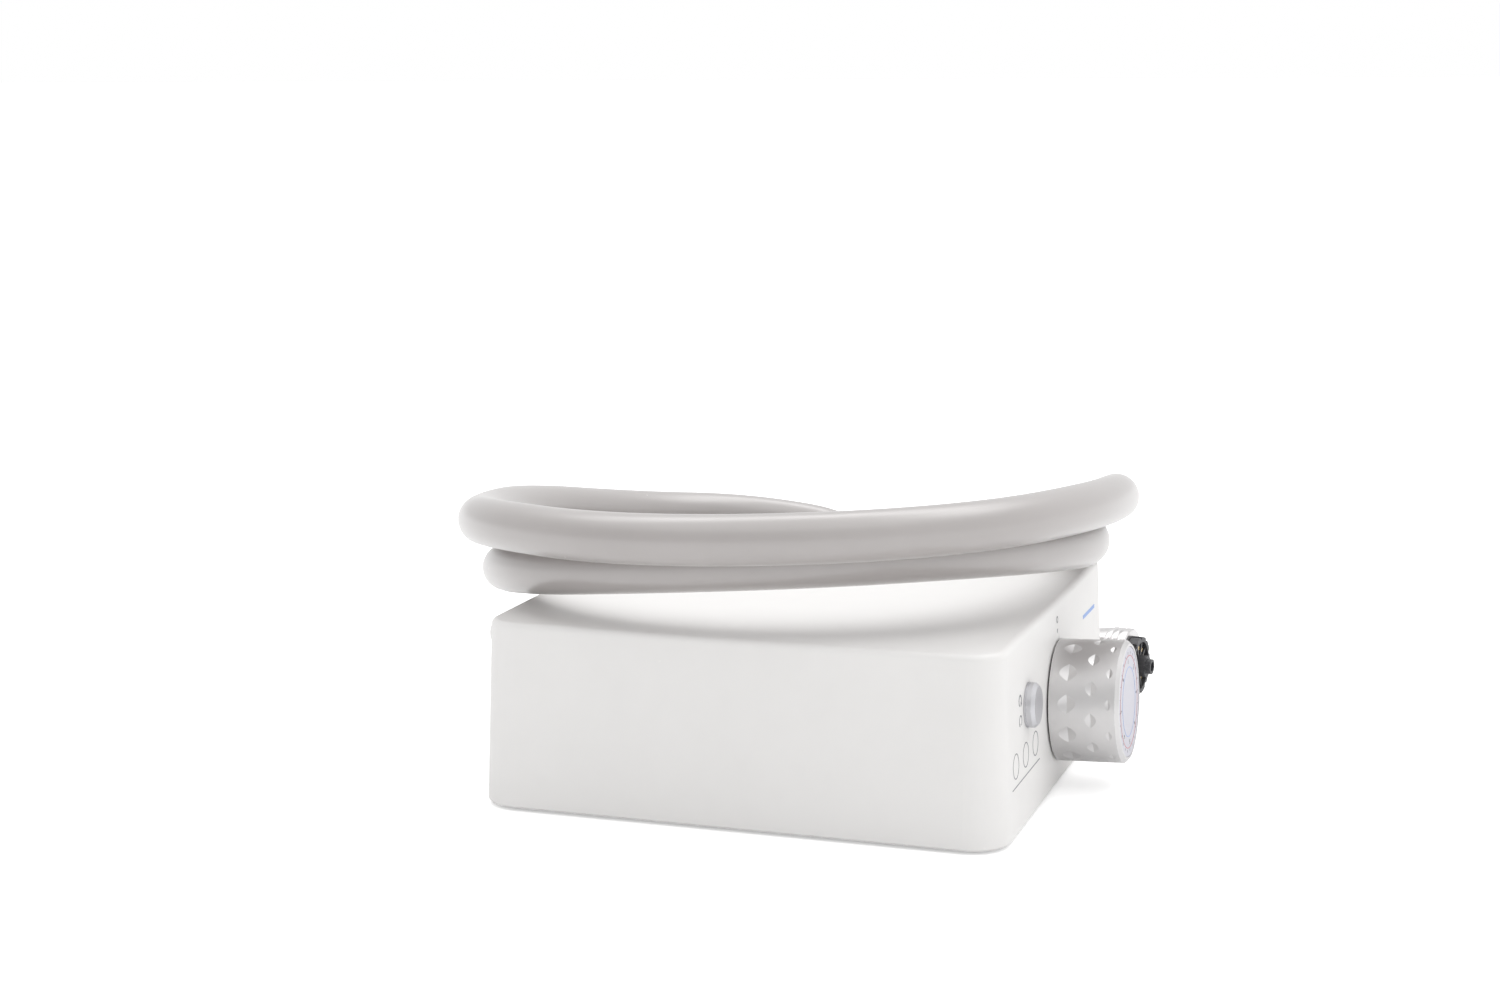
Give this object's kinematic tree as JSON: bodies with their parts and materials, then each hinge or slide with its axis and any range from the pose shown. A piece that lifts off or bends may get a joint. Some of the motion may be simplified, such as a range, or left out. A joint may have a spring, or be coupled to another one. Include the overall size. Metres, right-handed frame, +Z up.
{
  "type": "handpiece motor control unit",
  "caption": "Low white tabletop control box with a dimpled speed knob and a direction button, its grey silicone hose coiled on the lid and ending in a coupling.",
  "frame": {"origin": "on the surface the unit stands on, under the middle of the unit without its hose", "axes": "+Z up; -Y out of the control panel with the knob; +Y out of the rear bay; +X to the right seen from the control panel"},
  "size_m": [0.2108, 0.2067, 0.0768],
  "materials": {
    "housing_white": "moulded, satin gloss",
    "base_grey": "fine texture",
    "steel": "turned",
    "rubber_black": "matte",
    "knob_aluminium": "bead blasted, clear anodised",
    "dial_print": "printed rings",
    "black_plastic": "moulded",
    "pot_metal": "stamped",
    "board_green": "solder mask",
    "capacitor_sleeve": "shrink sleeve",
    "header_plastic": "moulded",
    "black_aluminium": "black anodised",
    "copper": "enamelled wire",
    "panel_grey": "fine texture",
    "nickel": "satin nickel",
    "valve_plastic": "moulded",
    "hose_silicone": "glossy silicone",
    "relief_rubber": "satin",
    "gold": "gold plated"
  },
  "bodies": {
    "unit": {"housing": "housing_white", "base_plate": "base_grey", "base_screws": "steel", "rubber_feet": "rubber_black", "knob_seal_ring": "black_plastic", "potentiometer": "pot_metal", "potentiometer_washer": "steel", "potentiometer_nut": "steel", "direction_switch": "black_plastic", "button_spring": "steel", "control_board": "board_green", "main_board": "board_green", "board_screws": "steel", "capacitors": "capacitor_sleeve", "control_chips": "black_plastic", "board_headers": "header_plastic", "motor_relay": "black_plastic", "heat_sink": "black_aluminium", "power_transistors": "black_plastic", "choke_coil": "copper", "rear_panel": "panel_grey", "panel_screws": "steel", "supply_socket": "black_plastic", "supply_socket_pin": "steel", "supply_socket_nut": "nickel", "air_inlet": "nickel", "air_inlet_nut": "nickel", "air_valve": "valve_plastic", "rocker_frame": "black_plastic", "hose_gland": "black_plastic", "gland_nut": "nickel", "hose": "hose_silicone", "strain_relief": "relief_rubber", "connector_body": "nickel", "connector_seal": "rubber_black", "connector_insert": "black_plastic", "contact_pins": "gold"},
    "knob": {"speed_knob": "knob_aluminium", "dial_plate": "dial_print", "knob_grub_screw": "steel", "potentiometer_shaft": "steel"},
    "button": {"direction_button": "knob_aluminium"},
    "rocker": {"power_rocker": "black_plastic"},
    "coupling": {"coupling_nut": "nickel"}
  },
  "joints": [
    {"name": "knob_turn", "type": "hinge", "parent": "unit", "child": "knob", "pos_m": [0.0009, -0.06418, 0.0212], "axis": [0, -0.9992, 0.04], "range_deg": [-150, 150]},
    {"name": "button_press", "type": "slide", "parent": "unit", "child": "button", "axis": [0, 0.9992, -0.04], "range_m": [0, 0.0012], "stiffness_N_per_m": 400, "springref_m": -0.002, "deforming": ["button_spring"]},
    {"name": "power_switch", "type": "hinge", "parent": "unit", "child": "rocker", "pos_m": [-0.007, 0.054, 0.018], "axis": [1, 0, 0], "range_deg": [-8, 8]},
    {"name": "coupling_spin", "type": "hinge", "parent": "unit", "child": "coupling", "pos_m": [0.08743, -0.05799, 0.0103], "axis": [-0.1283, -0.9917, 0], "continuous": true}
  ]
}
